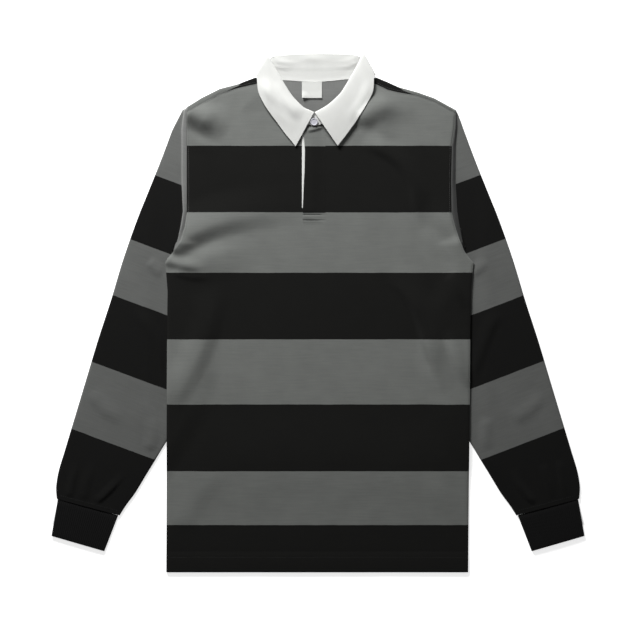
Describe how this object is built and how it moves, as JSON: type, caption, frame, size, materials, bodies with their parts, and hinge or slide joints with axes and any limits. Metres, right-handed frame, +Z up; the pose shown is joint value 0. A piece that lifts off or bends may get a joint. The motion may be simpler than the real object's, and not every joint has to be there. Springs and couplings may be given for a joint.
{
  "type": "rugby shirt",
  "caption": "Long-sleeved striped rugby shirt laid flat, front up, with a white turned-down collar, a short buttoned placket and ribbed cuffs",
  "frame": {"origin": "on the surface that the shirt lies on, in the middle of its outline", "axes": "+Z up from the surface, +Y from the hem to the collar, +X to the right of someone who looks at the front from above"},
  "size_m": [0.8256, 0.802, 0.0119],
  "materials": {
    "jersey": "matt cotton jersey in wide grey and black stripes",
    "rib": "matt black rib knit",
    "twill": "matt white cotton twill",
    "label": "smooth white woven label, blank",
    "button": "smooth satin"
  },
  "bodies": {
    "root": {"back_panel": "jersey", "front_panel": "jersey", "sleeve_left": "jersey", "sleeve_right": "jersey", "cuff_left": "rib", "cuff_right": "rib", "collar_stand": "twill", "collar_leaf": "twill", "placket_facing": "twill", "placket_fly": "jersey", "neck_label": "label", "neck_button": "button"}
  },
  "joints": []
}
